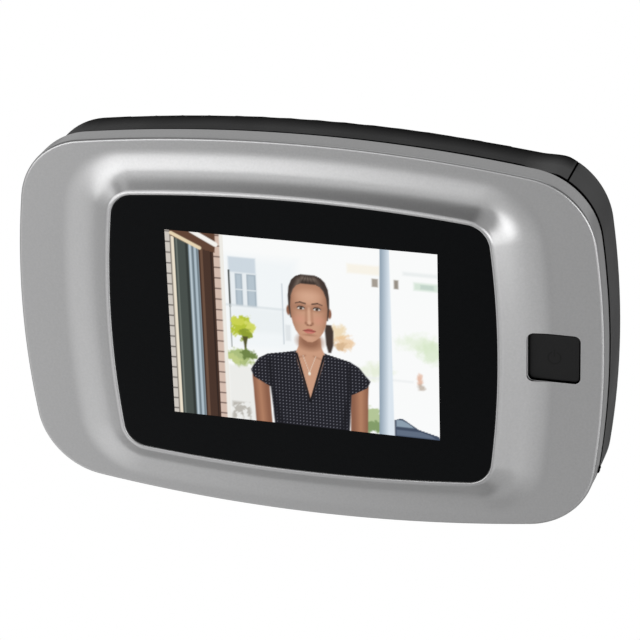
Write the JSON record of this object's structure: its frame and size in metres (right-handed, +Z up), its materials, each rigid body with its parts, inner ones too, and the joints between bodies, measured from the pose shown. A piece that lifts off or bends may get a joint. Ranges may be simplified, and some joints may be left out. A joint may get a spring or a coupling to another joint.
{
  "type": "peephole door camera",
  "caption": "Flat indoor monitor with bowed silver bezel, black window and one button, hung on a steel bracket clamped by a threaded camera barrel through the door.",
  "frame": {"origin": "on the axis of the barrel and clamp sleeve, in the plane of the door's inner face", "axes": "+X to the right as seen from indoors, +Y through the door to the outside, +Z up"},
  "size_m": [0.1254, 0.0652, 0.084],
  "materials": {
    "silver_paint": "satin metallic silver paint on ABS",
    "black_window": "clear acrylic printed black behind, polished",
    "black_tape": "matte adhesive tape",
    "bare_steel": "bare sheet steel",
    "display_glass": "polished",
    "white_plastic": "matte white",
    "amber_film": "polyimide film",
    "green_board": "solder mask",
    "black_resin": "matte",
    "capacitor_can": "satin",
    "zinc_steel": "zinc plated",
    "cream_plastic": "nylon",
    "button_plastic": "fine matte",
    "black_plastic": "fine spark texture",
    "nickel_wire": "nickel plated",
    "red_lead": "silicone lead",
    "cell_sleeve": "shrink sleeve on a steel can",
    "foam_tape": "closed cell foam",
    "turned_brass": "turned",
    "grey_ribbon": "PVC ribbon",
    "nickel_plate": "satin nickel plate on brass",
    "black_rubber": "matte",
    "clear_glass": "coated optical glass",
    "filter_glass": "coated"
  },
  "bodies": {
    "bracket": {"bracket_plate": "zinc_steel", "adhesive_pads": "foam_tape", "clamp_sleeve": "turned_brass", "camera_ribbon": "grey_ribbon"},
    "monitor": {"front_shell": "silver_paint", "display_window": "black_window", "window_tape": "black_tape", "lcd_frame": "bare_steel", "lcd_panel": "display_glass", "backlight": "white_plastic", "lcd_flex": "amber_film", "main_board": "green_board", "board_chips": "black_resin", "board_capacitors": "capacitor_can", "card_slot": "bare_steel", "board_screws": "zinc_steel", "camera_socket": "cream_plastic", "camera_plug": "cream_plastic", "tact_switch": "black_resin", "switch_dome": "bare_steel", "button_board": "green_board", "battery_tray": "black_plastic", "spring_contacts": "nickel_wire", "power_leads": "red_lead", "back_housing": "black_plastic", "case_screws": "zinc_steel", "cell_1": "cell_sleeve", "cell_2": "cell_sleeve", "cell_3": "cell_sleeve", "cell_4": "cell_sleeve"},
    "view_button": {"view_button": "button_plastic"},
    "battery_cover": {"battery_cover": "black_plastic", "cover_contacts": "nickel_wire"},
    "outer_camera": {"camera_barrel": "nickel_plate", "door_gasket": "black_rubber", "eye_window": "clear_glass", "lens_holder": "black_resin", "front_lens": "clear_glass", "rear_lens": "clear_glass", "light_filter": "filter_glass", "image_sensor": "black_resin", "sensor_board": "green_board", "module_retainer": "turned_brass"}
  },
  "joints": [
    {"name": "monitor_lift", "type": "slide", "parent": "bracket", "child": "monitor", "axis": [0, 0, 1], "range_m": [0, 0.0034], "deforming": ["camera_ribbon"]},
    {"name": "button_press", "type": "slide", "parent": "monitor", "child": "view_button", "axis": [0, 1, 0], "range_m": [0, 0.0005], "stiffness_N_per_m": 800, "springref_m": -0.0008, "deforming": ["switch_dome"]},
    {"name": "cover_slide", "type": "slide", "parent": "monitor", "child": "battery_cover", "axis": [1, 0, 0], "range_m": [0, 0.012]},
    {"name": "door_thickness", "type": "slide", "parent": "bracket", "child": "outer_camera", "axis": [0, 1, 0], "range_m": [-0.004, 0.008], "deforming": ["camera_ribbon"]}
  ]
}
